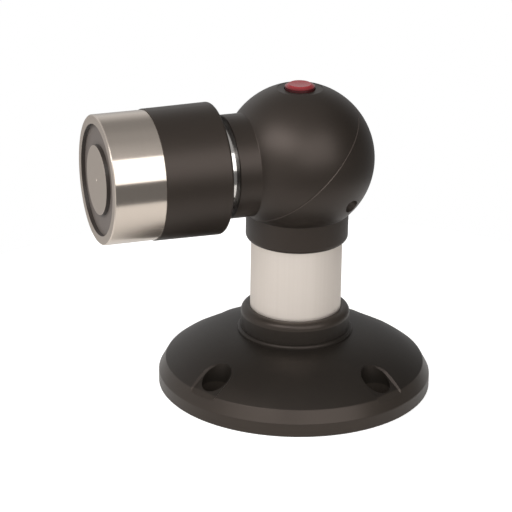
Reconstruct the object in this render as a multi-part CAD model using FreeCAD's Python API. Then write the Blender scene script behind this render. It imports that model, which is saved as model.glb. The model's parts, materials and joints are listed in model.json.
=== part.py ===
import FreeCAD, Part
import math
import os
from FreeCAD import Placement, Rotation, Vector

os.makedirs("parts", exist_ok=True)

# Driving dimensions, millimetres. +Z is up, the origin is the centre of the base's mounting face,
# and the magnet looks along -X.

# Base flange: a domed disc with a collar for the tube, hollow below
rim_r = 54.2
rim_h = 5.4
bevel_run = 2.7
bevel_rise = 4.9
dome_rise = 12.4
dome_sag = 2.1
bead_h = 0.5
bead_w = 1.25
collar_wall = 3.6
collar_h = 33.0
collar_round = 2.6
base_wall = 3.0
edge_round = 0.6
bevel_round = 0.8
rib_t = 2.4
rib_count = 8
rib_lift = 0.6
socket_floor_z = 12.0
socket_floor_t = 3.0

# Base screw holes: counterbores in a sloping U-shaped relief with flared sides that runs out over the rim
hole_count = 4
hole_turn = 26.0
hole_edge = 10.4
hole_r = 2.75
hole_head_r = 5.7
hole_seat_z = 5.6
hole_boss_wall = 2.2
relief_r = 6.1
relief_slope = 33.0
relief_drop = 1.2
relief_flare = 45.0

# Support tube: an aluminium extrusion with three screw ports
tube_r = 18.0
tube_wall = 2.4
tube_fit = 0.05
port_r = 3.3
port_sink = 0.7
port_hole_r = 1.5
port_count = 3
port_turn = 60.0

# Ball elbow: two shells that meet on a plane at 45 degrees
ball_z = 94.6
ball_r = 29.7
ball_wall = 2.7
crease_r = 0.3
elbow_wall = 2.1
collar_out = 3.2
collar_lip_round = 1.7
neck_out = 0.9
neck_drop = 0.6
neck_lip_round = 0.5
split_drop = 0.8
split_gap = 0.2
split_bevel = 0.35
lip_t = 2.45
tube_seat = 9.0
web_t = 3.0
wire_hole_r = 5.0

# Swivel: a clamp ring and two screws grip the upper shell's lip
ring_t = 3.0
ring_lap = 2.0
ring_land = 3.0
ring_gap = 1.4
lip_clear = 0.4
slide_gap = 0.03
m3_r = 1.5
m3_head_r = 2.7
m3_head_h = 3.0
m3_hex_r = 1.4
m3_under = 6.6
m3_bite = 2.4
m3_clear = 0.2
m3_bore_clear = 0.15
boss_wall = 1.8
friction_w = 2.9
friction_sink = 1.0

# Magnet head: steel pot, core and coil in a black sleeve, on a bright spigot
head_gap = 4.3
sleeve_len = 26.4
sleeve_front_step = 0.35
sleeve_rear_step = 0.65
sleeve_back = 3.6
sleeve_round = 1.0
pot_show = 20.3
pot_r = 25.0
pot_wall = 3.5
pot_step = 1.7
pot_back = 6.0
pot_chamfer = 0.4
coil_room = 8.0
core_dimple = 0.6
core_tap_depth = 16.0
resin_sink = 1.6
resin_t = 1.6
bobbin_wall = 1.2
coil_fill = 0.6
neck_wall = 2.5
spigot_seat = 4.0
spigot_wall = 4.6
neck_web = 2.6
part_fit = 0.05
m8_r = 4.0
m8_clear = 0.25
m8_head_af = 13.0
m8_head_h = 5.3
hex_sides = 6
washer_r = 8.0
washer_t = 1.6
lead_hole_r = 2.0
lead_hole_out = 10.5

# Release button and its switch, on the ball's top
button_r = 5.85
button_rise = 2.0
button_bevel_run = 1.5
button_bevel_drop = 0.9
button_dish = 0.25
button_travel = 1.6
button_gap = 0.3
flat_drop = 1.5
flat_r = 9.0
well_top_t = 2.0
well_wall = 1.7
well_len = 9.6
flange_w = 1.1
flange_t = 1.4
stem_r = 2.0
spring_room = 5.5
spring_r = 4.6
spring_wire_r = 0.4
spring_turns = 4
stem_bite = 1.6
stem_spare = 1.4
switch_flange_w = 1.4
switch_flange_t = 1.3
switch_barrel_r = 6.4
switch_barrel_len = 6.0
tag_w = 2.4
tag_t = 0.5
tag_len = 3.2
tag_pitch = 6.0

# Connection terminals in the lower shell
pole_count = 3
pole_pitch = 6.0
block_depth = 10.0
block_h = 9.0
block_step = 3.0
block_up = 3.0
pad_margin = 1.0
pad_floor = 21.5
entry_r = 1.7
clamp_screw_r = 1.6
clamp_slot_w = 0.6
block_end = 1.2

# Self-tapping pan-head screws and the cable grommet
tap_r = 1.45
tap_head_r = 2.9
tap_head_h = 2.2
tap_head_round = 1.2
tap_len = 14.0
tap_clear = 0.35
cross_w = 0.8
cross_len = 3.4
cross_depth = 1.3
grommet_r = 6.0
grommet_bore_r = 3.5
grommet_lip = 1.6

# Derived sizes shared by several pieces
UP = Vector(0, 0, 1)
SIDE = Vector(0, 1, 0)
AHEAD = Vector(-1, 0, 0)
SWIVEL = Vector(-1, 0, 1).normalize()
RISE = Vector(1, 0, 1).normalize()
BALL = Vector(0, 0, ball_z)
NECK = BALL - UP * neck_drop
FAR = 4 * rim_r
cavity_r = ball_r - ball_wall
collar_reach = ball_r + collar_out
neck_reach = ball_r + neck_out
socket_r = tube_r + tube_fit
collar_r = socket_r + collar_wall
bead_r = collar_r + bead_w
bevel_r = rim_r - bevel_run
bevel_z = rim_h + bevel_rise
dome_top_z = bevel_z + dome_rise
tube_top_z = ball_z - collar_reach + tube_seat
port_rho = tube_r - tube_wall - port_r + port_sink
neck_r = socket_r + elbow_wall
spigot_r = neck_r - neck_wall - part_fit
ring_out_r = cavity_r - ring_gap
lip_in_r = ring_out_r - ring_lap
screw_rho = lip_in_r - lip_clear - m3_r
ring_in_r = screw_rho - ring_land
lower_face = -split_drop - split_gap / 2
upper_face = -split_drop + split_gap / 2
lip_top = upper_face + lip_t
ring_low = lip_top + slide_gap
hole_rho = rim_r - hole_edge
sleeve_rear = neck_reach + head_gap
sleeve_front = sleeve_rear + sleeve_len
face_reach = sleeve_front + pot_show
pot_rear = sleeve_rear + sleeve_back + part_fit
pot_floor = pot_rear + pot_back
pot_in_r = pot_r - pot_wall
pot_small_r = pot_r - pot_step
core_r = pot_in_r - coil_room
neck_floor = neck_reach - spigot_seat
web_in = neck_floor - neck_web
flat_h = ball_r - flat_drop
well_top = flat_h - well_top_t
well_low = well_top - well_len
well_r = button_r + flange_w + button_gap
flange_low = well_top - part_fit - flange_t
switch_top = flange_low - spring_room
stem_hole = stem_bite + button_travel + stem_spare


def rod(radius, start, finish):
    """Cylinder between two points."""
    return Part.makeCylinder(radius, (finish - start).Length, start, finish - start)


def pipe(outer, inner, start, finish):
    """Hollow cylinder between two points."""
    return rod(outer, start, finish).cut(rod(inner, start, finish))


def turned(path, origin, axis):
    """Solid of revolution; path holds (radius, height) corners, or pairs for an arc through the first."""
    edges = []
    here = path[0]
    for step in path[1:] + path[:1]:
        if isinstance(step[0], tuple):
            points = [Vector(r, 0, h) for r, h in (here, step[0], step[1])]
            edges.append(Part.Arc(*points).toShape())
            here = step[1]
        else:
            edges.append(Part.makeLine(Vector(here[0], 0, here[1]), Vector(step[0], 0, step[1])))
            here = step
    solid = Part.Face(Part.Wire(edges)).revolve(Vector(), UP, 360)
    solid.Placement = Placement(origin, Rotation(UP, axis))
    return solid


def round_over(r, h, size):
    """Quarter-round at an outer top corner, as the last two steps of a turned path."""
    bend = size * (1 - math.sqrt(0.5))
    return [(r, h - size), ((r - bend, h - bend), (r - size, h))]


def polar(radius, degrees, z):
    """Point at a radius and angle round the tube's axis."""
    return Vector(radius * math.cos(math.radians(degrees)), radius * math.sin(math.radians(degrees)), z)


def tilted(along, rise=0.0, side=0.0):
    """Point in the elbow's own frame: along the swivel axis, up the split plane, and sideways."""
    return BALL + SWIVEL * along + RISE * rise + SIDE * side


def ahead(reach, up=0.0):
    """Point on the neck's axis in front of the ball's centre, towards the magnet."""
    return NECK + AHEAD * reach + UP * up


def above(height, toward=0.0):
    """Point above the ball's centre, on the button's axis."""
    return BALL + UP * height + SIDE * toward


def slab(low, high):
    """All of space between two heights along the swivel axis."""
    return rod(FAR, tilted(low), tilted(high))


def block(length, width, height, centre, axes):
    """Box centred on a point, with its length, width and height along the given axes."""
    box = Part.makeBox(length, width, height, Vector(-length / 2, -width / 2, -height / 2))
    box.Placement = Placement(centre, Rotation(axes[0], axes[1], axes[2], "ZXY"))
    return box


def ball_and_neck(reach, lip_round, foot, axis):
    """Solid ball with a cylindrical neck from a foot point inside it, blended by a fillet at the crease."""
    path = [(0, 0), (neck_r, 0)] + round_over(neck_r, reach, lip_round) + [(0, reach)]
    whole = Part.makeSphere(ball_r, BALL).fuse(turned(path, foot, axis))
    crease = []
    for edge in whole.Edges:
        middle = edge.valueAt((edge.FirstParameter + edge.LastParameter) / 2)
        on_ball = abs((middle - BALL).Length - ball_r) < part_fit
        if on_ball and abs(middle.distanceToLine(foot, axis) - neck_r) < part_fit:
            crease.append(edge)
    return whole.makeFillet(crease_r, crease)


def tapping_screw(seat, axis):
    """Pan-head tapping screw with a cross recess; seat is under the head and the shank runs along axis."""
    path = [(0, -tap_len), (tap_r / 2, -tap_len), (tap_r, 2 * tap_r - tap_len), (tap_r, 0), (tap_head_r, 0)]
    path += round_over(tap_head_r, tap_head_h, tap_head_round) + [(0, tap_head_h)]
    screw = turned(path, seat, axis * -1)
    bottom = seat - axis * (tap_head_h - cross_depth / 2)
    for size in ((cross_len, cross_w), (cross_w, cross_len)):
        screw = screw.cut(block(size[0], size[1], cross_depth, bottom, (Vector(1, 0, 0), SIDE, axis)))
    return screw


def hexagon(across, height, start, axis):
    """Hexagonal prism standing on a point."""
    corner = across / 2 / math.cos(math.pi / hex_sides)
    points = [polar(corner, 360 / hex_sides * k, 0) for k in range(hex_sides + 1)]
    prism = Part.Face(Part.makePolygon(points)).extrude(UP * height)
    prism.Placement = Placement(start, Rotation(UP, axis))
    return prism


def level_edges(shape, heights):
    """Edges of a shape that lie level at one of the given heights."""
    level = [edge for edge in shape.Edges if edge.BoundBox.ZLength < part_fit]
    return [edge for edge in level if min(abs(edge.BoundBox.ZMax - z) for z in heights) < part_fit]


def make_base_flange():
    """Moulded base: domed flange, tube collar with a beaded foot, ribs below, relieved screw holes."""
    chord = Vector(bead_r - bevel_r, 0, dome_rise)
    bulge = Vector(dome_rise, 0, bevel_r - bead_r).normalize() * dome_sag
    mid_r = bevel_r + chord.x / 2 + bulge.x
    mid_z = bevel_z + chord.z / 2 + bulge.z
    bead_top = dome_top_z + bead_h + bead_w
    path = [(0, 0), (rim_r - edge_round, 0), (rim_r, edge_round), (rim_r, rim_h), (bevel_r, bevel_z)]
    path += [((mid_r, mid_z), (bead_r, dome_top_z))] + round_over(bead_r, bead_top, bead_w)
    path += round_over(collar_r, collar_h, collar_round) + [(0, collar_h)]
    outer = turned(path, Vector(), UP)
    outer = outer.makeFillet(bevel_round, level_edges(outer, (rim_h, bevel_z)))
    inner_rim = bevel_r - base_wall
    inner_top = dome_top_z - base_wall
    path = [(collar_r, 0), (inner_rim, 0), (inner_rim, rim_h)]
    path += [((mid_r - base_wall / 2, mid_z - base_wall), (collar_r, inner_top))]
    hollow = turned(path, Vector(), UP)
    base = outer.cut(hollow)
    for k in range(rib_count):
        turn = Rotation(UP, hole_turn + 180 / hole_count + k * 360 / rib_count)
        rib = Part.makeBox(rim_r, rib_t, inner_top, Vector(0, -rib_t / 2, rib_lift))
        rib.Placement = Placement(Vector(), turn)
        base = base.fuse(rib.common(hollow))
    for k in range(hole_count):
        angle = hole_turn + k * 360 / hole_count
        boss = rod(hole_head_r + hole_boss_wall, polar(hole_rho, angle, 0), polar(hole_rho, angle, FAR))
        base = base.fuse(boss.common(outer))
    base = base.cut(rod(socket_r, Vector(0, 0, socket_floor_z), Vector(0, 0, FAR)))
    base = base.cut(rod(socket_r - base_wall / 2, Vector(), Vector(0, 0, socket_floor_z - socket_floor_t)))
    base = base.cut(rod(grommet_r, Vector(), Vector(0, 0, FAR)))
    for k in range(port_count):
        angle = port_turn + k * 360 / port_count
        low, high = [polar(port_rho, angle, z) for z in (0, collar_h)]
        base = base.cut(rod(tap_r + tap_clear, low, high))
    floor = Vector(hole_rho, 0, dome_height(hole_rho, mid_r, mid_z) - relief_drop)
    downhill = Rotation(SIDE, relief_slope).multVec(Vector(1, 0, 0))
    normal = Rotation(SIDE, relief_slope).multVec(UP)
    top_r = relief_r + dome_rise * math.tan(math.radians(relief_flare))
    section = [floor - SIDE * relief_r, floor + SIDE * relief_r]
    section += [floor + normal * dome_rise + SIDE * top_r, floor + normal * dome_rise - SIDE * top_r]
    for k in range(hole_count):
        slot = Part.Face(Part.makePolygon(section + section[:1])).extrude(downhill * FAR)
        slot = slot.fuse(Part.makeCone(relief_r, top_r, dome_rise, floor, normal))
        slot = slot.fuse(rod(hole_head_r, Vector(hole_rho, 0, hole_seat_z), Vector(hole_rho, 0, FAR)))
        slot = slot.fuse(rod(hole_r, Vector(hole_rho, 0, -rim_h), Vector(hole_rho, 0, FAR)))
        slot.Placement = Placement(Vector(), Rotation(UP, hole_turn + k * 360 / hole_count))
        base = base.cut(slot)
    return base.removeSplitter()


def dome_height(radius, mid_r, mid_z):
    """Height of the dome's arc at a radius, from the circle through its ends and its middle."""
    arc = Part.Circle(Vector(bevel_r, 0, bevel_z), Vector(mid_r, 0, mid_z), Vector(bead_r, 0, dome_top_z))
    return arc.Center.z + math.sqrt(arc.Radius ** 2 - (radius - arc.Center.x) ** 2)


def make_support_tube():
    """Extruded tube with three screw ports on its inner wall."""
    foot = Vector(0, 0, socket_floor_z + part_fit)
    top = Vector(0, 0, tube_top_z - part_fit)
    tube = pipe(tube_r, tube_r - tube_wall, foot, top)
    for k in range(port_count):
        angle = port_turn + k * 360 / port_count
        tube = tube.fuse(rod(port_r, polar(port_rho, angle, foot.z), polar(port_rho, angle, top.z)))
    for k in range(port_count):
        angle = port_turn + k * 360 / port_count
        tube = tube.cut(rod(port_hole_r, polar(port_rho, angle, foot.z), polar(port_rho, angle, top.z)))
    return tube.removeSplitter()


def make_tube_screws(seat_z, axis):
    """Three tapping screws through a web into the tube's ports."""
    turns = [port_turn + k * 360 / port_count for k in range(port_count)]
    return Part.makeCompound([tapping_screw(polar(port_rho, turn, seat_z), axis) for turn in turns])


def make_cable_grommet():
    """Soft grommet in the base's cable hole: a spool with a lip each side of the floor."""
    low = socket_floor_z - socket_floor_t - part_fit
    high = socket_floor_z + part_fit
    waist = grommet_r - part_fit
    lip_r = waist + grommet_lip
    path = [(grommet_bore_r, low - grommet_lip), (waist, low - grommet_lip), (lip_r, low - grommet_lip / 2)]
    path += [(lip_r, low), (waist, low), (waist, high), (lip_r, high), (lip_r, high + grommet_lip / 2)]
    path += [(waist, high + grommet_lip), (grommet_bore_r, high + grommet_lip)]
    return turned(path, Vector(), UP)


def make_lower_elbow_shell():
    """Lower half of the ball: tube collar, two screw bosses, terminal pad and the friction ring's groove."""
    whole = ball_and_neck(collar_reach, collar_lip_round, BALL, UP * -1).common(slab(-FAR, lower_face))
    edge_r = math.sqrt(ball_r ** 2 - lower_face ** 2)
    far_r = edge_r + split_bevel
    bevel = [(edge_r - split_bevel, lower_face), (far_r, lower_face), (far_r, lower_face - 2 * split_bevel)]
    whole = whole.cut(turned(bevel, BALL, SWIVEL))
    web_top = tube_top_z + web_t
    cavity = Part.makeSphere(cavity_r, BALL).common(slab(-FAR, lower_face - lip_t))
    cavity = cavity.common(rod(FAR, Vector(0, 0, web_top), Vector(0, 0, FAR)))
    cavity = cavity.fuse(rod(lip_in_r, tilted(lower_face - lip_t - ball_wall), tilted(0)))
    solid_ball = Part.makeSphere(ball_r - ball_wall / 2, BALL)
    cavity = cavity.cut(terminal_pad())
    for side in (-screw_rho, screw_rho):
        boss = rod(m3_head_r + m3_bore_clear + boss_wall, tilted(-FAR, 0, side), tilted(lower_face, 0, side))
        cavity = cavity.cut(boss.common(solid_ball))
    shell = whole.cut(cavity)
    shell = shell.cut(rod(socket_r, Vector(), Vector(0, 0, tube_top_z)))
    shell = shell.cut(rod(wire_hole_r, Vector(0, 0, tube_top_z - web_t), Vector(0, 0, web_top)))
    for k in range(port_count):
        angle = port_turn + k * 360 / port_count
        low, seat = [polar(port_rho, angle, z) for z in (collar_h, web_top)]
        shell = shell.cut(rod(tap_r + tap_clear, low, seat))
        shell = shell.cut(rod(tap_head_r + tap_clear, seat, seat + UP * 2 * tap_head_h))
    for side in (-screw_rho, screw_rho):
        seat = lower_face - m3_under
        shell = shell.cut(rod(m3_head_r + m3_bore_clear, tilted(-ball_r, 0, side), tilted(seat, 0, side)))
        shell = shell.cut(rod(m3_r + m3_clear, tilted(seat, 0, side), tilted(0, 0, side)))
    groove_r = (lip_in_r + ball_r + friction_w) / 2
    floor = lower_face - friction_sink
    groove_in = groove_r - friction_w - part_fit
    groove = pipe(groove_r + part_fit, groove_in, tilted(floor), tilted(lower_face + split_gap))
    return shell.cut(groove).removeSplitter()


def terminal_pad():
    """Flat pad on the lower shell's inner wall that carries the terminal block."""
    length = pole_count * pole_pitch + 2 * block_end + 2 * pad_margin
    width = block_depth + 2 * pad_margin
    centre = tilted(-pad_floor - ball_wall * 2, block_up)
    return block(length, width, ball_wall * 4, centre, (SIDE, RISE * -1, SWIVEL))


def make_friction_ring():
    """Flat ring that drags on the upper shell's lip, seated in the lower shell's groove."""
    outer = (lip_in_r + ball_r + friction_w) / 2
    low = lower_face - friction_sink + part_fit / 2
    return pipe(outer, outer - friction_w, tilted(low), tilted(upper_face - slide_gap))


def make_clamp_ring():
    """Steel ring inside the upper shell, tapped for the two swivel screws."""
    ring = pipe(ring_out_r, ring_in_r, tilted(ring_low), tilted(ring_low + ring_t))
    for side in (-screw_rho, screw_rho):
        ring = ring.cut(rod(m3_r + part_fit, tilted(0, 0, side), tilted(ball_r, 0, side)))
    return ring


def make_swivel_screws():
    """Two socket-head screws from the lower shell's counterbores into the clamp ring."""
    screws = []
    for side in (-screw_rho, screw_rho):
        seat = lower_face - m3_under
        head = rod(m3_head_r, tilted(seat - m3_head_h, 0, side), tilted(seat - part_fit, 0, side))
        shank = rod(m3_r, tilted(seat - part_fit, 0, side), tilted(ring_low + m3_bite, 0, side))
        socket = hexagon(2 * m3_hex_r, m3_head_h / 2, tilted(seat - m3_head_h, 0, side), SWIVEL)
        screws.append(head.fuse(shank).cut(socket).removeSplitter())
    return Part.makeCompound(screws)


def make_upper_elbow_shell():
    """Upper half of the ball with the magnet's neck, the clamped lip, and the button's flat and well."""
    whole = ball_and_neck(neck_reach, neck_lip_round, NECK, AHEAD).common(slab(upper_face, FAR))
    cavity = Part.makeSphere(cavity_r, BALL).common(slab(lip_top, FAR))
    cavity = cavity.common(rod(FAR, ahead(web_in), ahead(-FAR)))
    cavity = cavity.cut(rod(well_r + well_wall, above(well_low), above(ball_r)))
    shell = whole.cut(cavity)
    shell = shell.cut(rod(lip_in_r, tilted(-ball_wall), tilted(lip_top)))
    shell = shell.cut(rod(spigot_r + part_fit, ahead(neck_floor), ahead(FAR)))
    shell = shell.cut(rod(m8_r + m8_clear, ahead(0), ahead(FAR)))
    shell = shell.cut(rod(lead_hole_r, ahead(web_in - ball_wall, lead_hole_out), ahead(FAR, lead_hole_out)))
    shell = shell.cut(rod(flat_r, above(flat_h), above(FAR)))
    shell = shell.cut(rod(button_r + button_gap, above(well_low), above(FAR)))
    return shell.cut(rod(well_r, above(well_low), above(well_top))).removeSplitter()


def make_button_cap():
    """Red push cap: bevelled top, slightly dished, with a retaining flange and a stem below."""
    top = flat_h + button_rise
    edge = button_r - button_bevel_run
    dish_r = (edge ** 2 + button_dish ** 2) / (2 * button_dish)
    halfway = top - button_dish + dish_r - math.sqrt(dish_r ** 2 - edge ** 2 / 4)
    path = [(0, switch_top - stem_bite), (stem_r, switch_top - stem_bite), (stem_r, flange_low)]
    path += [(button_r + flange_w, flange_low), (button_r + flange_w, flange_low + flange_t)]
    path += [(button_r, flange_low + flange_t), (button_r, top - button_bevel_drop), (edge, top)]
    path += [((edge / 2, halfway), (0, top - button_dish))]
    return turned(path, BALL, UP)


def make_button_spring():
    """Return spring: a round-wire helix round the cap's stem."""
    low = switch_top + spring_wire_r + part_fit
    height = spring_room - 2 * spring_wire_r - 2 * part_fit
    spine = Part.makeLongHelix(height / spring_turns, height, spring_r)
    wire = Part.Wire(Part.makeCircle(spring_wire_r, Vector(spring_r, 0, 0), SIDE))
    spring = Part.Wire(spine).makePipeShell([wire], True, True)
    spring.Placement = Placement(above(low), Rotation())
    return spring


def make_switch_body():
    """Switch plugged into the well from below: a flange, a barrel, and the hole for the cap's stem."""
    plug_r = well_r - part_fit
    flange_r = plug_r + switch_flange_w
    low = well_low - part_fit
    path = [(0, switch_top - stem_hole), (stem_r + button_gap, switch_top - stem_hole)]
    path += [(stem_r + button_gap, switch_top), (plug_r, switch_top), (plug_r, low), (flange_r, low)]
    path += [(flange_r, low - switch_flange_t), (switch_barrel_r, low - switch_flange_t)]
    path += [(switch_barrel_r, low - switch_barrel_len), (0, low - switch_barrel_len)]
    return turned(path, BALL, UP)


def make_switch_tags():
    """Two solder tags under the switch."""
    low = well_low - part_fit - switch_barrel_len - part_fit
    tags = []
    for side in (-tag_pitch / 2, tag_pitch / 2):
        tag = block(tag_t, tag_w, tag_len, above(low - tag_len / 2, side), (Vector(1, 0, 0), SIDE, UP))
        eye = above(low - tag_len + tag_w / 2, side)
        hole = rod(tag_w / 4, eye - AHEAD, eye + AHEAD)
        tags.append(tag.cut(hole))
    return Part.makeCompound(tags)


def make_magnet_pot():
    """Turned steel pot: an outer ring pole, a stepped-down rear for the sleeve, and a thick back."""
    outer = pot_r - pot_chamfer
    step = sleeve_front + part_fit
    path = [(m8_r + m8_clear, pot_rear), (pot_small_r - pot_chamfer, pot_rear)]
    path += [(pot_small_r, pot_rear + pot_chamfer), (pot_small_r, step), (pot_r, step)]
    path += [(pot_r, face_reach - pot_chamfer), (outer, face_reach)]
    path += [(pot_in_r, face_reach), (pot_in_r, pot_floor), (m8_r + m8_clear, pot_floor)]
    pot = turned(path, NECK, AHEAD)
    lead_up = core_r + lead_hole_r
    return pot.cut(rod(lead_hole_r, ahead(0, lead_up), ahead(pot_floor + pot_back, lead_up)))


def make_magnet_core():
    """Turned steel centre pole, tapped from behind, with a centre dimple on its face."""
    back = pot_floor + part_fit
    path = [(m8_r + part_fit, back), (core_r, back), (core_r, face_reach - pot_chamfer / 2)]
    path += [(core_r - pot_chamfer / 2, face_reach), (core_dimple, face_reach), (0, face_reach - core_dimple)]
    path += [(0, back + core_tap_depth + m8_r), (m8_r + part_fit, back + core_tap_depth)]
    return turned(path, NECK, AHEAD)


def make_coil_bobbin():
    """Moulded bobbin: a tube round the core with a flange at each end."""
    bore = core_r + part_fit
    edge = pot_in_r - part_fit
    back = pot_floor + part_fit
    front = face_reach - resin_sink - resin_t - part_fit
    drum = bore + bobbin_wall
    path = [(bore, back), (edge, back), (edge, back + bobbin_wall), (drum, back + bobbin_wall)]
    path += [(drum, front - bobbin_wall), (edge, front - bobbin_wall), (edge, front), (bore, front)]
    return turned(path, NECK, AHEAD)


def make_coil_winding():
    """Copper winding, wound as one pack between the bobbin's flanges."""
    inner = core_r + bobbin_wall + 2 * part_fit
    back = pot_floor + bobbin_wall + 2 * part_fit
    front = face_reach - resin_sink - resin_t - bobbin_wall - 2 * part_fit
    return pipe(pot_in_r - coil_fill, inner, ahead(back), ahead(front))


def make_potting_resin():
    """Cast resin ring that seals the coil, a little below the pole faces."""
    front = face_reach - resin_sink
    return pipe(pot_in_r - part_fit, core_r + part_fit, ahead(front - resin_t), ahead(front))


def make_magnet_sleeve():
    """Moulded cap over the pot's rear, slightly tapered, its rear edge rounded, bored for the spigot."""
    bore = pot_small_r + part_fit
    hole = spigot_r + part_fit
    front_r = pot_r + sleeve_front_step
    rear_r = pot_r + sleeve_rear_step
    bend = sleeve_round * (1 - math.sqrt(0.5))
    path = [(hole, sleeve_rear), (rear_r - sleeve_round, sleeve_rear)]
    path += [((rear_r - bend, sleeve_rear + bend), (rear_r, sleeve_rear + sleeve_round))]
    path += [(front_r, sleeve_front), (bore, sleeve_front), (bore, sleeve_rear + sleeve_back)]
    path += [(hole, sleeve_rear + sleeve_back)]
    return turned(path, NECK, AHEAD)


def make_magnet_spigot():
    """Bright turned bush between the neck's socket and the pot's back."""
    return pipe(spigot_r, spigot_r - spigot_wall, ahead(neck_floor + part_fit), ahead(pot_rear - part_fit))


def make_head_bolt():
    """Hexagon bolt from inside the ball through the spigot into the core."""
    under = web_in - washer_t - 2 * part_fit
    head = hexagon(m8_head_af, m8_head_h, ahead(under), AHEAD * -1)
    return head.fuse(rod(m8_r, ahead(under), ahead(pot_floor + core_tap_depth))).removeSplitter()


def make_bolt_washer():
    """Plain washer under the bolt's head."""
    return pipe(washer_r, m8_r + m8_clear, ahead(web_in - washer_t - part_fit), ahead(web_in - part_fit))


def make_terminal_block():
    """Moulded terminal block: a stepped bar with a wire entry and a screw well for each pole."""
    length = pole_count * pole_pitch + 2 * block_end
    foot = -pad_floor + part_fit
    axes = (SIDE, RISE * -1, SWIVEL)
    entry = foot + (block_h - block_step) / 2
    body = block(length, block_depth, block_h - block_step, tilted(entry, block_up), axes)
    top = foot + block_h
    body = body.fuse(block(length, block_depth / 2, block_step, tilted(top - block_step / 2, block_up), axes))
    for k in range(pole_count):
        side = (k - (pole_count - 1) / 2) * pole_pitch
        rear, front = [tilted(entry, block_up + way * block_depth, side) for way in (-1, 1)]
        body = body.cut(rod(entry_r, rear, front))
        low, high = [tilted(along, block_up, side) for along in (entry, top)]
        body = body.cut(rod(clamp_screw_r + part_fit, low, high))
    return body.removeSplitter()


def make_terminal_screws():
    """Slotted clamp screws in the terminal block's wells."""
    foot = -pad_floor + part_fit
    low = foot + (block_h - block_step) / 2 + entry_r / 2
    high = foot + block_h - block_step / 3
    screws = []
    for k in range(pole_count):
        side = (k - (pole_count - 1) / 2) * pole_pitch
        screw = rod(clamp_screw_r, tilted(low, block_up, side), tilted(high, block_up, side))
        axes = (SIDE, RISE * -1, SWIVEL)
        screws.append(screw.cut(block(FAR, clamp_slot_w, clamp_screw_r, tilted(high, block_up, side), axes)))
    return Part.makeCompound(screws)


pieces = {
    "base_flange": make_base_flange(),
    "cable_grommet": make_cable_grommet(),
    "support_tube": make_support_tube(),
    "base_tube_screws": make_tube_screws(socket_floor_z - socket_floor_t - part_fit, UP),
    "lower_elbow_shell": make_lower_elbow_shell(),
    "elbow_tube_screws": make_tube_screws(tube_top_z + web_t + part_fit, UP * -1),
    "swivel_friction_ring": make_friction_ring(),
    "swivel_clamp_ring": make_clamp_ring(),
    "swivel_screws": make_swivel_screws(),
    "terminal_block": make_terminal_block(),
    "terminal_screws": make_terminal_screws(),
    "upper_elbow_shell": make_upper_elbow_shell(),
    "button_cap": make_button_cap(),
    "button_spring": make_button_spring(),
    "switch_body": make_switch_body(),
    "switch_tags": make_switch_tags(),
    "magnet_pot": make_magnet_pot(),
    "magnet_core": make_magnet_core(),
    "coil_bobbin": make_coil_bobbin(),
    "coil_winding": make_coil_winding(),
    "potting_resin": make_potting_resin(),
    "magnet_sleeve": make_magnet_sleeve(),
    "magnet_spigot": make_magnet_spigot(),
    "head_bolt": make_head_bolt(),
    "bolt_washer": make_bolt_washer(),
}
for name, shape in pieces.items():
    shape.exportStep(f"parts/{name}.step")
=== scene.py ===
import json
import math

import bpy
import numpy as np
from mathutils import Matrix, Vector


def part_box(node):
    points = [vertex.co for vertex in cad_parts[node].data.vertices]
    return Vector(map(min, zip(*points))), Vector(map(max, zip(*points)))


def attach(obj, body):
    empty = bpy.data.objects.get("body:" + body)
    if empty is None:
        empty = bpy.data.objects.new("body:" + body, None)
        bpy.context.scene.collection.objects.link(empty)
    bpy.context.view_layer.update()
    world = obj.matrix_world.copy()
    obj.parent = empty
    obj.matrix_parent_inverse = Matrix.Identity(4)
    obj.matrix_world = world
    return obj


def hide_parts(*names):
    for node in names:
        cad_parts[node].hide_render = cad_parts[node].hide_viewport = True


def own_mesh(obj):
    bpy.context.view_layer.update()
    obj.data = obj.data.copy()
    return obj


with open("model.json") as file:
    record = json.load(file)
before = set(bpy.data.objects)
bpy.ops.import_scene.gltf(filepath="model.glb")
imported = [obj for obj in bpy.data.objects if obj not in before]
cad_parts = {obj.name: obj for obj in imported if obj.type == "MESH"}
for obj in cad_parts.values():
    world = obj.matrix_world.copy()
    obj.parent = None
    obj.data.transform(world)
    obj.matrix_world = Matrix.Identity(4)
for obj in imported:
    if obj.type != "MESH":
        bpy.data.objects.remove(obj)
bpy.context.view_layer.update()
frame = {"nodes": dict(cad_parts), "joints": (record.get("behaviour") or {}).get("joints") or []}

# Base flange: one dome moulded in black glass-filled polyamide, screwed to the wall or the floor.
# Its mould was spark-eroded coarse, so the dome is dull.
# The rim at the wall and the lip round the tube come from parts of the mould that were left smoother, and are
# painted a lighter black as a painted highlight.

MM = 0.001


def linear(hex_colour):
    """sRGB hex text to a linear RGBA tuple, by the standard two-part curve."""
    values = [int(hex_colour[i:i + 2], 16) / 255 for i in (1, 3, 5)]
    return tuple(v / 12.92 if v <= 0.04045 else ((v + 0.055) / 1.055) ** 2.4 for v in values) + (1.0,)


def add(tree, kind, settings=None, **links):
    """Adds one node; settings go on its attributes or sockets, and links join its inputs to other outputs.

    A link names an input by the socket's name, or by the letter i and the socket's number.
    """
    node = tree.nodes.new(kind)
    for name, value in (settings or {}).items():
        if isinstance(name, int) or name in node.inputs:
            node.inputs[name].default_value = value
        else:
            setattr(node, name, value)
    for name, source in links.items():
        tree.links.new(source, node.inputs[int(name[1:]) if name[1:].isdigit() else name])
    return node


def material(name):
    """A new node material, with its tree, its shader and its object coordinates in millimetres."""
    made = bpy.data.materials.new(name)
    made.use_nodes = True
    tree = made.node_tree
    place = add(tree, "ShaderNodeTexCoord").outputs["Object"]
    place = add(tree, "ShaderNodeVectorMath", {"operation": "SCALE", "Scale": 1 / MM}, i0=place).outputs[0]
    return made, tree, tree.nodes["Principled BSDF"], place


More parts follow.
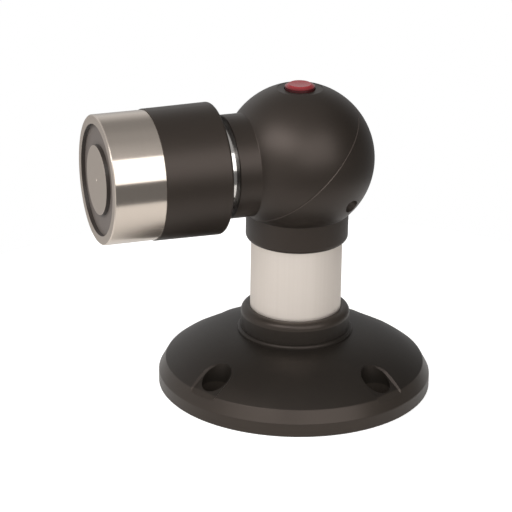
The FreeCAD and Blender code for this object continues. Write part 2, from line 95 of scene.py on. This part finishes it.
def dress(tree, shader, colour, roughness, height, deep_mm):
    """Gives the shader a colour, a roughness, and as relief a height of 0 to 1 times a real depth."""
    bump = add(tree, "ShaderNodeBump", {"Strength": 1.0, "Distance": deep_mm * MM}, Height=height)
    tree.links.new(colour, shader.inputs["Base Color"])
    tree.links.new(roughness, shader.inputs["Roughness"])
    tree.links.new(bump.outputs["Normal"], shader.inputs["Normal"])


def paint(finish, *names):
    """Gives CAD nodes one finish."""
    for name in names:
        slots = frame["nodes"][name].data.materials
        slots.clear()
        slots.append(finish)


coarse_mm = 0.5  # the real grain is too fine to show in the picture, so it is drawn this coarse
coarse_deep_mm = 0.01
flow_mm = 14.0
rim_mm = 10.3
lip_mm = 3.0
fade_mm = 0.2
warm_gloss = linear("#ffece2")
rim_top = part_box("base_flange")[0].z / MM + rim_mm
lip_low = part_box("base_flange")[1].z / MM - lip_mm
coarse_nylon, tree, shader, place = material("coarse_black_nylon")
grain = add(tree, "ShaderNodeTexNoise", {"Scale": 1 / coarse_mm, "Detail": 2.0}, Vector=place).outputs["Fac"]
flow = add(tree, "ShaderNodeTexNoise", {"Scale": 1 / flow_mm, "Detail": 3.0}, Vector=place).outputs["Fac"]
level = add(tree, "ShaderNodeSeparateXYZ", i0=place).outputs["Z"]
above_rim = add(tree, "ShaderNodeMapRange", {"From Min": rim_top - fade_mm, "From Max": rim_top + fade_mm},
                i0=level).outputs[0]
below_lip = add(tree, "ShaderNodeMapRange", {"From Min": lip_low + fade_mm, "From Max": lip_low - fade_mm},
                i0=level).outputs[0]
dome = add(tree, "ShaderNodeMath", {"operation": "MULTIPLY"}, i0=above_rim, i1=below_lip).outputs[0]
# The rim and the lip are painted a lighter black than the dome: painted highlight.
highlight_black = add(tree, "ShaderNodeMix", {"data_type": "RGBA", 6: linear("#2b2622"), 7: linear("#312c27")},
                   Factor=flow).outputs[2]
dull_black = add(tree, "ShaderNodeMix", {"data_type": "RGBA", 6: linear("#181512"), 7: linear("#1e1b17")},
                 Factor=flow).outputs[2]
black = add(tree, "ShaderNodeMix", {"data_type": "RGBA"}, Factor=dome, i6=highlight_black, i7=dull_black)
smooth = add(tree, "ShaderNodeMapRange", {"To Min": 0.3, "To Max": 0.4}, i0=grain).outputs[0]
dull = add(tree, "ShaderNodeMapRange", {"To Min": 0.4, "To Max": 0.5}, i0=grain).outputs[0]
rough = add(tree, "ShaderNodeMix", Factor=dome, i2=smooth, i3=dull)
dress(tree, shader, black.outputs[2], rough.outputs[0], grain, coarse_deep_mm)
shader.inputs["Specular IOR Level"].default_value = 0.33
shader.inputs["Specular Tint"].default_value = warm_gloss
paint(coarse_nylon, "base_flange")

# Cable grommet: a soft black rubber spool pressed into the hole of the base's floor.
# Moulded rubber is matt, with a slight bloom that lifts its black.


def mottled(name, patch_mm, detail, colours, roughness, deep_mm, metallic=0.0):
    """A finish whose colour, roughness and relief all follow one noise, with patches of a real size."""
    made, tree, shader, place = material(name)
    patch = add(tree, "ShaderNodeTexNoise", {"Scale": 1 / patch_mm, "Detail": detail},
                Vector=place).outputs["Fac"]
    low, high = (linear(colour) for colour in colours)
    colour = add(tree, "ShaderNodeMix", {"data_type": "RGBA", 6: low, 7: high}, Factor=patch)
    rough = add(tree, "ShaderNodeMapRange", {"To Min": roughness[0], "To Max": roughness[1]}, i0=patch)
    dress(tree, shader, colour.outputs[2], rough.outputs[0], patch, deep_mm)
    shader.inputs["Metallic"].default_value = metallic
    return made


rubber = mottled("black_rubber", patch_mm=2.5, detail=4.0, colours=("#1d1c1c", "#2b2a2a"),
                 roughness=(0.65, 0.85), deep_mm=0.02)
paint(rubber, "cable_grommet")

# Support tube: an aluminium extrusion, etched matt and clear anodised.
# The etch leaves a silky even grey; faint die lines run along the tube.

die_line_mm = 0.9
die_line_deep_mm = 0.002
die_line_stretch = 0.01
etch_mm = 0.25  # drawn coarser than the real etch, which is too fine to show
anodised, tree, shader, place = material("clear_anodised_aluminium")
drawn = add(tree, "ShaderNodeMapping", {"Scale": (1, 1, die_line_stretch)}, Vector=place).outputs[0]
lines = add(tree, "ShaderNodeTexNoise", {"Scale": 1 / die_line_mm, "Detail": 3.0},
            Vector=drawn).outputs["Fac"]
etch = add(tree, "ShaderNodeTexNoise", {"Scale": 1 / etch_mm, "Detail": 1.0}, Vector=place).outputs["Fac"]
silver = add(tree, "ShaderNodeMix", {"data_type": "RGBA", 6: linear("#e6ddd4"), 7: linear("#ebe2da")},
             Factor=lines)
rough = add(tree, "ShaderNodeMapRange", {"To Min": 0.53, "To Max": 0.63}, i0=etch)
dress(tree, shader, silver.outputs[2], rough.outputs[0], lines, die_line_deep_mm)
shader.inputs["Metallic"].default_value = 1.0
paint(anodised, "support_tube")

# Tapping screws, clamp ring and head bolt: steel, cold-headed or turned, bright zinc plated.
# The plating is a pale bluish grey with small uneven patches.

zinc = mottled("zinc_plated_steel", patch_mm=0.8, detail=4.0, colours=("#b4b6b8", "#d2d3d2"),
               roughness=(0.22, 0.38), deep_mm=0.006, metallic=1.0)
paint(zinc, "base_tube_screws", "elbow_tube_screws", "swivel_clamp_ring", "head_bolt", "bolt_washer")

# Ball shells and magnet sleeve: mouldings in the base's black polyamide, from moulds that were eroded finer.
# They have a satin grain and no gloss of their own.
# The small bevel of the lower shell, along the split of the ball, is painted paler as a painted highlight of
# the light it catches.

fine_mm = 0.35  # drawn coarser than the real grain, which is too fine to show
fine_deep_mm = 0.008
bevel_drop_mm = 1.07
bevel_half_mm = 0.19
swivel = next(joint for joint in frame["joints"] if joint["name"] == "elbow_swivel")
split_axis = Vector(swivel["axis"])
bevel_level = split_axis.dot(Vector(swivel["pos_m"])) / MM - bevel_drop_mm
satin_nylon, tree, shader, place = material("black_glass_filled_nylon")
grain = add(tree, "ShaderNodeTexNoise", {"Scale": 1 / fine_mm, "Detail": 2.0}, Vector=place).outputs["Fac"]
flow = add(tree, "ShaderNodeTexNoise", {"Scale": 1 / flow_mm, "Detail": 3.0}, Vector=place).outputs["Fac"]
level = add(tree, "ShaderNodeVectorMath", {"operation": "DOT_PRODUCT", 1: split_axis},
            i0=place).outputs["Value"]
bevel = add(tree, "ShaderNodeMath", {"operation": "COMPARE", 1: bevel_level, 2: bevel_half_mm},
            i0=level).outputs[0]
satin_black = add(tree, "ShaderNodeMix", {"data_type": "RGBA", 6: linear("#201b17"), 7: linear("#26211c")},
                  Factor=flow).outputs[2]
# The bevel's narrow band is painted paler than the shells: painted highlight.
seam_highlight_black = add(tree, "ShaderNodeMix", {"data_type": "RGBA", 6: linear("#3a332f"), 7: linear("#433b36")},
                   Factor=flow).outputs[2]
black = add(tree, "ShaderNodeMix", {"data_type": "RGBA"}, Factor=bevel, i6=satin_black, i7=seam_highlight_black)
rough = add(tree, "ShaderNodeMapRange", {"To Min": 0.37, "To Max": 0.47}, i0=grain)
dress(tree, shader, black.outputs[2], rough.outputs[0], grain, fine_deep_mm)
shader.inputs["Specular Tint"].default_value = warm_gloss
paint(satin_nylon, "lower_elbow_shell", "upper_elbow_shell", "magnet_sleeve")

# Swivel screws: steel socket screws, zinc plated and black passivated, deep in the lower shell's holes.
# The passivation is a soft black with a faint brown bloom.

black_zinc = mottled("black_passivated_zinc", patch_mm=0.5, detail=4.0, colours=("#1c1918", "#2c2624"),
                     roughness=(0.35, 0.5), deep_mm=0.004, metallic=0.6)
paint(black_zinc, "swivel_screws")

# Friction ring and coil bobbin: natural polyamide, moulded, off-white and slightly waxy.
# It lets a little light in, so it has some subsurface depth.

natural_nylon = mottled("natural_nylon", patch_mm=6.0, detail=2.0, colours=("#d8d2c2", "#e6e1d4"),
                        roughness=(0.38, 0.5), deep_mm=0.02)
shader = natural_nylon.node_tree.nodes["Principled BSDF"]
shader.inputs["Subsurface Weight"].default_value = 0.15
shader.inputs["Subsurface Radius"].default_value = (1.2 * MM, 1.1 * MM, 0.9 * MM)
paint(natural_nylon, "swivel_friction_ring", "coil_bobbin")

# Switch body and terminal block: a plug-in push switch and a small screw terminal.
# They are moulded in light grey plastic, plain and slightly rough.

grey_plastic = mottled("grey_plastic", patch_mm=0.5, detail=2.0, colours=("#bdbdba", "#c9c9c6"),
                       roughness=(0.45, 0.6), deep_mm=0.01)
paint(grey_plastic, "switch_body", "terminal_block")

# Terminal screws and switch tags: brass, turned and stamped.
# It is left bare, so it is a warm yellow with a little tarnish.

brass = mottled("brass", patch_mm=1.5, detail=5.0, colours=("#a98748", "#cfae6c"),
                roughness=(0.25, 0.42), deep_mm=0.005, metallic=1.0)
paint(brass, "terminal_screws", "switch_tags")

# Release button: a red cap moulded in see-through plastic, polished on top, in a well of the upper shell.
# Its top is clear red; its sides are painted a deeper red as painted shade from the black well round them.

cloud_mm = 3.0
cloud_deep_mm = 0.01
side_mm = 1.3
brow_mm = 0.16
cap_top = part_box("button_cap")[1].z / MM
red_plastic, tree, shader, place = material("red_polished_plastic")
cloud = add(tree, "ShaderNodeTexNoise", {"Scale": 1 / cloud_mm, "Detail": 2.0}, Vector=place).outputs["Fac"]
level = add(tree, "ShaderNodeSeparateXYZ", i0=place).outputs["Z"]
top = add(tree, "ShaderNodeMapRange", {"From Min": cap_top - side_mm, "From Max": cap_top - brow_mm},
          i0=level).outputs[0]
# The cap's sides are painted a deeper red than its top: painted shade.
shaded_red = add(tree, "ShaderNodeMix", {"data_type": "RGBA", 6: linear("#3a1618"), 7: linear("#421a1c")},
               Factor=cloud).outputs[2]
clear_red = add(tree, "ShaderNodeMix", {"data_type": "RGBA", 6: linear("#8b252a"), 7: linear("#972d32")},
                Factor=cloud).outputs[2]
red = add(tree, "ShaderNodeMix", {"data_type": "RGBA"}, Factor=top, i6=shaded_red, i7=clear_red)
rough = add(tree, "ShaderNodeMapRange", {"To Min": 0.2, "To Max": 0.28}, i0=cloud)
dress(tree, shader, red.outputs[2], rough.outputs[0], cloud, cloud_deep_mm)
paint(red_plastic, "button_cap")

# Return spring: one length of hard-drawn, zinc-plated wire, wound as an open helix round the button's stem.
# It stands on the switch.

wire_r = 0.4 * MM
coils = 4
coil_steps = 48
wire_steps = 12
foot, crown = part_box("button_spring")


def helix_tube(low, high):
    """Round wire on a helix: a ring of the wire's radius in the radial plane, carried round and evenly up."""
    coil_r = (high.x - low.x) / 2 - wire_r
    share = np.linspace(0, 1, coils * coil_steps + 1)[:, None]
    round_axis = share * coils * 2 * math.pi
    round_wire = np.arange(wire_steps)[None, :] * 2 * math.pi / wire_steps
    reach = coil_r + wire_r * np.cos(round_wire)
    rise = low.z + wire_r + share * (high.z - low.z - 2 * wire_r) + wire_r * np.sin(round_wire)
    x = (low.x + high.x) / 2 + reach * np.cos(round_axis)
    y = (low.y + high.y) / 2 + reach * np.sin(round_axis)
    return np.stack([x, y, rise], axis=2)


points = helix_tube(foot, crown)
index = np.arange(points[..., 0].size).reshape(points.shape[:2])
beside = np.roll(index, -1, axis=1)
quads = np.stack([index[:-1], index[1:], beside[1:], beside[:-1]], axis=2).reshape(-1, 4)
ends = [index[0].tolist(), index[-1, ::-1].tolist()]
spring_mesh = bpy.data.meshes.new("return_spring")
spring_mesh.from_pydata(points.reshape(-1, 3).tolist(), [], quads.tolist() + ends)
spring_mesh.polygons.foreach_set("use_smooth", np.ones(len(spring_mesh.polygons), dtype=bool))
spring_mesh.materials.append(zinc)
spring = bpy.data.objects.new("return_spring", spring_mesh)
bpy.context.scene.collection.objects.link(spring)
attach(spring, "head")
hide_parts("button_spring")
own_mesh(spring)

# Magnet pot and core: free-cutting steel, turned and nickel plated, the two poles faced flush.
# The tool leaves fine hoops along the pot's side, so reflections there are drawn out along the pot and stay
# crisp round it. The faces are ground, more even and duller, and the walls of the recess between them are
# painted dark as painted shade.

hoop_mm = 0.4  # the real tool marks are closer together and would not show
hoop_deep_mm = 0.002
grind_mm = 0.7  # drawn coarser than the real scratches, which are too fine to show
skin_mm = 0.05
pot_inside_mm = 22.0
dimple_mm = 2.0
# The recess walls are painted dark, dull and not metal: painted shade.
recess_shade = linear("#3d3632")
recess_rough = 0.6
face_low, face_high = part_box("magnet_core")
head_axis_z = (face_low.z + face_high.z) / 2
pole_steel, tree, shader, place = material("nickel_plated_steel")
centred = add(tree, "ShaderNodeMapping", {"Location": (-face_low.x / MM, 0, -head_axis_z / MM)},
              Vector=place).outputs[0]
along = add(tree, "ShaderNodeSeparateXYZ", i0=centred).outputs
radial = add(tree, "ShaderNodeCombineXYZ", Y=along["Y"], Z=along["Z"]).outputs[0]
radius = add(tree, "ShaderNodeVectorMath", {"operation": "LENGTH"}, i0=radial).outputs["Value"]
hoops = add(tree, "ShaderNodeTexNoise", {"noise_dimensions": "1D", "Scale": 1 / hoop_mm, "Detail": 4.0},
            W=along["X"]).outputs["Fac"]
ground = add(tree, "ShaderNodeTexNoise", {"Scale": 1 / grind_mm, "Detail": 4.0},
             Vector=centred).outputs["Fac"]
behind_face = add(tree, "ShaderNodeMath", {"operation": "GREATER_THAN", 1: skin_mm},
                  i0=along["X"]).outputs[0]
inside_pot = add(tree, "ShaderNodeMath", {"operation": "LESS_THAN", 1: pot_inside_mm}, i0=radius).outputs[0]
off_dimple = add(tree, "ShaderNodeMath", {"operation": "GREATER_THAN", 1: dimple_mm}, i0=radius).outputs[0]
ring_room = add(tree, "ShaderNodeMath", {"operation": "MULTIPLY"}, i0=inside_pot, i1=off_dimple).outputs[0]
recess = add(tree, "ShaderNodeMath", {"operation": "MULTIPLY"}, i0=behind_face, i1=ring_room).outputs[0]
bare = add(tree, "ShaderNodeMath", {"operation": "SUBTRACT", 0: 1.0}, i1=recess).outputs[0]
face_nickel = add(tree, "ShaderNodeMix", {"data_type": "RGBA", 6: linear("#c5b8ac"), 7: linear("#d2c5b9")},
                  Factor=ground).outputs[2]
side_nickel = add(tree, "ShaderNodeMix", {"data_type": "RGBA", 6: linear("#cbbfb3"), 7: linear("#d8ccc1")},
                  Factor=hoops).outputs[2]
nickel = add(tree, "ShaderNodeMix", {"data_type": "RGBA"}, Factor=behind_face, i6=face_nickel,
             i7=side_nickel).outputs[2]
shaded_nickel = add(tree, "ShaderNodeMix", {"data_type": "RGBA", 7: recess_shade}, Factor=recess, i6=nickel)
face_rough = add(tree, "ShaderNodeMapRange", {"To Min": 0.34, "To Max": 0.42}, i0=ground).outputs[0]
side_rough = add(tree, "ShaderNodeMapRange", {"To Min": 0.2, "To Max": 0.24}, i0=hoops).outputs[0]
rough = add(tree, "ShaderNodeMix", Factor=behind_face, i2=face_rough, i3=side_rough).outputs[0]
rough = add(tree, "ShaderNodeMix", {3: recess_rough}, Factor=recess, i2=rough)
dress(tree, shader, shaded_nickel.outputs[2], rough.outputs[0], hoops, hoop_deep_mm)
lengthwise = add(tree, "ShaderNodeCombineXYZ", {"X": 1.0}).outputs[0]
lengthwise = add(tree, "ShaderNodeVectorTransform", {"convert_from": "OBJECT", "convert_to": "WORLD"},
                 i0=lengthwise).outputs[0]
tree.links.new(bare, shader.inputs["Metallic"])
tree.links.new(behind_face, shader.inputs["Anisotropic"])
tree.links.new(lengthwise, shader.inputs["Tangent"])
paint(pole_steel, "magnet_pot", "magnet_core")

# Coil winding: enamelled copper wire, wound in layers on the bobbin.
# The wires lie side by side as fine ribs round the axis, under an amber enamel.

wire_mm = 0.5
wire_deep_mm = 0.12
band_scale = math.pi / 10 / wire_mm  # a band wave repeats every pi / 10 / Scale
copper, tree, shader, place = material("enamelled_copper_wire")
wires = add(tree, "ShaderNodeTexWave", {"bands_direction": "X", "Scale": band_scale},
            Vector=place).outputs["Fac"]
# The amber is painted darker in the grooves between the wires and brighter on their crowns: painted shade.
amber = add(tree, "ShaderNodeMix", {"data_type": "RGBA", 6: linear("#6e3216"), 7: linear("#b8642f")},
            Factor=wires)
rough = add(tree, "ShaderNodeMapRange", {"To Min": 0.4, "To Max": 0.25}, i0=wires)
dress(tree, shader, amber.outputs[2], rough.outputs[0], wires, wire_deep_mm)
shader.inputs["Metallic"].default_value = 1.0
paint(copper, "coil_winding")

# Potting resin: grey filled epoxy, cast over the coil and left a little below the poles.
# The filler gives it a faint speckle, and it set with a dull skin.

resin = mottled("grey_potting_resin", patch_mm=0.6, detail=3.0, colours=("#655c57", "#756c66"),
                roughness=(0.45, 0.6), deep_mm=0.02)
paint(resin, "potting_resin")

# Magnet spigot: a turned steel bush, bright and nearly polished, between the neck and the pot.
# Only a narrow ring of it shows, so it reads as a clean bright line.

polish_mm = 0.3  # drawn coarser than the real marks, which are too fine to show
polish_deep_mm = 0.001
bright_steel, tree, shader, place = material("bright_turned_steel")
along_bush = add(tree, "ShaderNodeSeparateXYZ", i0=place).outputs["X"]
rings = add(tree, "ShaderNodeTexNoise", {"noise_dimensions": "1D", "Scale": 1 / polish_mm, "Detail": 3.0},
            W=along_bush).outputs["Fac"]
bright = add(tree, "ShaderNodeMix", {"data_type": "RGBA", 6: linear("#cdc8c3"), 7: linear("#dcd8d4")},
             Factor=rings)
rough = add(tree, "ShaderNodeMapRange", {"To Min": 0.1, "To Max": 0.16}, i0=rings)
dress(tree, shader, bright.outputs[2], rough.outputs[0], rings, polish_deep_mm)
shader.inputs["Metallic"].default_value = 1.0
paint(bright_steel, "magnet_spigot")

# Floor: a round sheet of white card under the base.
# It keeps the base's soft shadow, and to the camera it joins the white background without an edge.

card_r = 0.185
card_steps = 96
fibre_mm = 4.0
camera_lift = 0.6
mirror_lift = 0.06
angle = np.arange(card_steps) * 2 * math.pi / card_steps
rim = np.stack([card_r * np.cos(angle), card_r * np.sin(angle), np.zeros(card_steps)], axis=1)
card_mesh = bpy.data.meshes.new("floor_card")
card_mesh.from_pydata(rim.tolist(), [], [list(range(card_steps))])
card = bpy.data.objects.new("floor_card", card_mesh)
bpy.context.scene.collection.objects.link(card)
white_card, tree, shader, place = material("white_card")
fibre = add(tree, "ShaderNodeTexNoise", {"Scale": 1 / fibre_mm, "Detail": 2.0}, Vector=place).outputs["Fac"]
white = add(tree, "ShaderNodeMix", {"data_type": "RGBA", 6: linear("#f2f1ef"), 7: linear("#f6f5f3")},
            Factor=fibre)
tree.links.new(white.outputs[2], shader.inputs["Base Color"])
shader.inputs["Roughness"].default_value = 0.9
shader.inputs["Specular IOR Level"].default_value = 0.1
shader.inputs["Emission Color"].default_value = (1, 1, 1, 1)
rays = add(tree, "ShaderNodeLightPath").outputs
seen = add(tree, "ShaderNodeMath", {"operation": "MULTIPLY", 1: camera_lift},
           i0=rays["Is Camera Ray"]).outputs[0]
mirrored = add(tree, "ShaderNodeMath", {"operation": "MAXIMUM"}, i0=rays["Is Glossy Ray"],
               i1=rays["Is Transmission Ray"]).outputs[0]
lift = add(tree, "ShaderNodeMath", {"operation": "MULTIPLY_ADD", 1: mirror_lift}, i0=mirrored, i2=seen)
tree.links.new(lift.outputs[0], shader.inputs["Emission Strength"])
card_mesh.materials.append(white_card)

# World: a white studio, brightest on the left and low behind, dim overhead, and darkest on the right.
# Each side has its own levels from the floor up to the ceiling; the camera itself sees plain white.

stop_degrees = (-25, 0, 20, 45, 70, 90)
side_levels = {
    "left": (0.84, 0.83, 0.76, 0.66, 0.53, 0.45),
    "right": (0.22, 0.16, 0.04, 0.1, 0.45, 0.45),
    "front": (0.2, 0.2, 0.35, 0.45, 0.55, 0.45),
    "behind": (0.36, 0.56, 0.84, 0.34, 0.36, 0.45),
}
world = bpy.data.worlds.new("white_studio")
bpy.context.scene.world = world
world.use_nodes = True
tree = world.node_tree
direction = add(tree, "ShaderNodeTexCoord").outputs["Generated"]
height = add(tree, "ShaderNodeSeparateXYZ", i0=direction).outputs["Z"]
height = add(tree, "ShaderNodeMapRange", {"From Min": -1.0}, i0=height).outputs[0]
flat = add(tree, "ShaderNodeVectorMath", {"operation": "MULTIPLY", 1: (1, 1, 0)}, i0=direction).outputs[0]
flat = add(tree, "ShaderNodeVectorMath", {"operation": "NORMALIZE"}, i0=flat).outputs[0]
flat = add(tree, "ShaderNodeSeparateXYZ", i0=flat).outputs
sides = {}
for side, levels in side_levels.items():
    ramp = add(tree, "ShaderNodeValToRGB", i0=height)
    while len(ramp.color_ramp.elements) < len(levels):
        ramp.color_ramp.elements.new(0.5)
    for element, degrees, grey in zip(ramp.color_ramp.elements, stop_degrees, levels):
        element.position = (math.sin(math.radians(degrees)) + 1) / 2
        element.color = (grey, grey, grey, 1)
    sides[side] = ramp.outputs["Color"]
pairs = []
for axis, low, high in (("X", "left", "right"), ("Y", "front", "behind")):
    past = add(tree, "ShaderNodeMath", {"operation": "GREATER_THAN", 1: 0.0}, i0=flat[axis]).outputs[0]
    pair = add(tree, "ShaderNodeMix", {"data_type": "RGBA"}, Factor=past, i6=sides[low], i7=sides[high])
    pairs.append(pair.outputs[2])
depth = add(tree, "ShaderNodeMath", {"operation": "MULTIPLY"}, i0=flat["Y"], i1=flat["Y"]).outputs[0]
studio = add(tree, "ShaderNodeMix", {"data_type": "RGBA"}, Factor=depth, i6=pairs[0], i7=pairs[1]).outputs[2]
camera_ray = add(tree, "ShaderNodeLightPath").outputs["Is Camera Ray"]
shown = add(tree, "ShaderNodeMix", {"data_type": "RGBA", 7: (1, 1, 1, 1)}, Factor=camera_ray, i6=studio)
tree.links.new(shown.outputs[2], tree.nodes["Background"].inputs["Color"])

# Lamps: two large soft panels in front, above the camera, the left one brighter.
# Each is aimed at the ball, and its power goes with its area, so that a larger panel isn't a brighter one.


def toward(azimuth, elevation):
    """Unit direction from the object: azimuth 0 is straight in front, positive to the right."""
    a, e = math.radians(azimuth), math.radians(elevation)
    return Vector((math.sin(a) * math.cos(e), -math.cos(a) * math.cos(e), math.sin(e)))


ball = Vector((0, 0, head_axis_z))
panel_distance = 1.0
for name, azimuth, elevation, width, tall, radiance in (
    ("key_panel", -57, 41, 0.86, 0.5, 4.4),
    ("fill_panel", 10, 29, 1.05, 0.76, 2.3),
):
    lamp = bpy.data.lights.new(name, "AREA")
    lamp.shape = "RECTANGLE"
    lamp.size = width
    lamp.size_y = tall
    lamp.energy = radiance * math.pi * width * tall
    panel = bpy.data.objects.new(name, lamp)
    way = toward(azimuth, elevation)
    panel.location = ball + way * panel_distance
    panel.rotation_euler = way.to_track_quat("Z", "Y").to_euler()
    bpy.context.scene.collection.objects.link(panel)

# Camera: placed where the photograph's outlines say, with a long lens and a slight roll.
# Its angle of view comes from the focal length in pixels that was fitted with the place.

aim = Vector((-16.906, 0, 55.441)) * MM
camera_distance = 1.0
camera_elevation = 21.57
camera_azimuth = -19.704
roll = math.radians(0.868)
focal_px = 2546.9
picture_px = 512
clip_start = 0.01
turn = math.radians(camera_azimuth)
back = toward(camera_azimuth, camera_elevation)
right = Vector((math.cos(turn), math.sin(turn), 0))
up = back.cross(right)
axes = (right * math.cos(roll) + up * math.sin(roll), up * math.cos(roll) - right * math.sin(roll), back)
lens = bpy.data.cameras.new("camera")
lens.sensor_fit = "HORIZONTAL"
lens.angle = 2 * math.atan(picture_px / 2 / focal_px)
lens.clip_start = clip_start
camera = bpy.data.objects.new("camera", lens)
camera.matrix_world = Matrix.Translation(aim + back * camera_distance) @ Matrix(axes).transposed().to_4x4()
bpy.context.scene.collection.objects.link(camera)
bpy.context.scene.camera = camera
bpy.context.scene.view_settings.view_transform = "Standard"
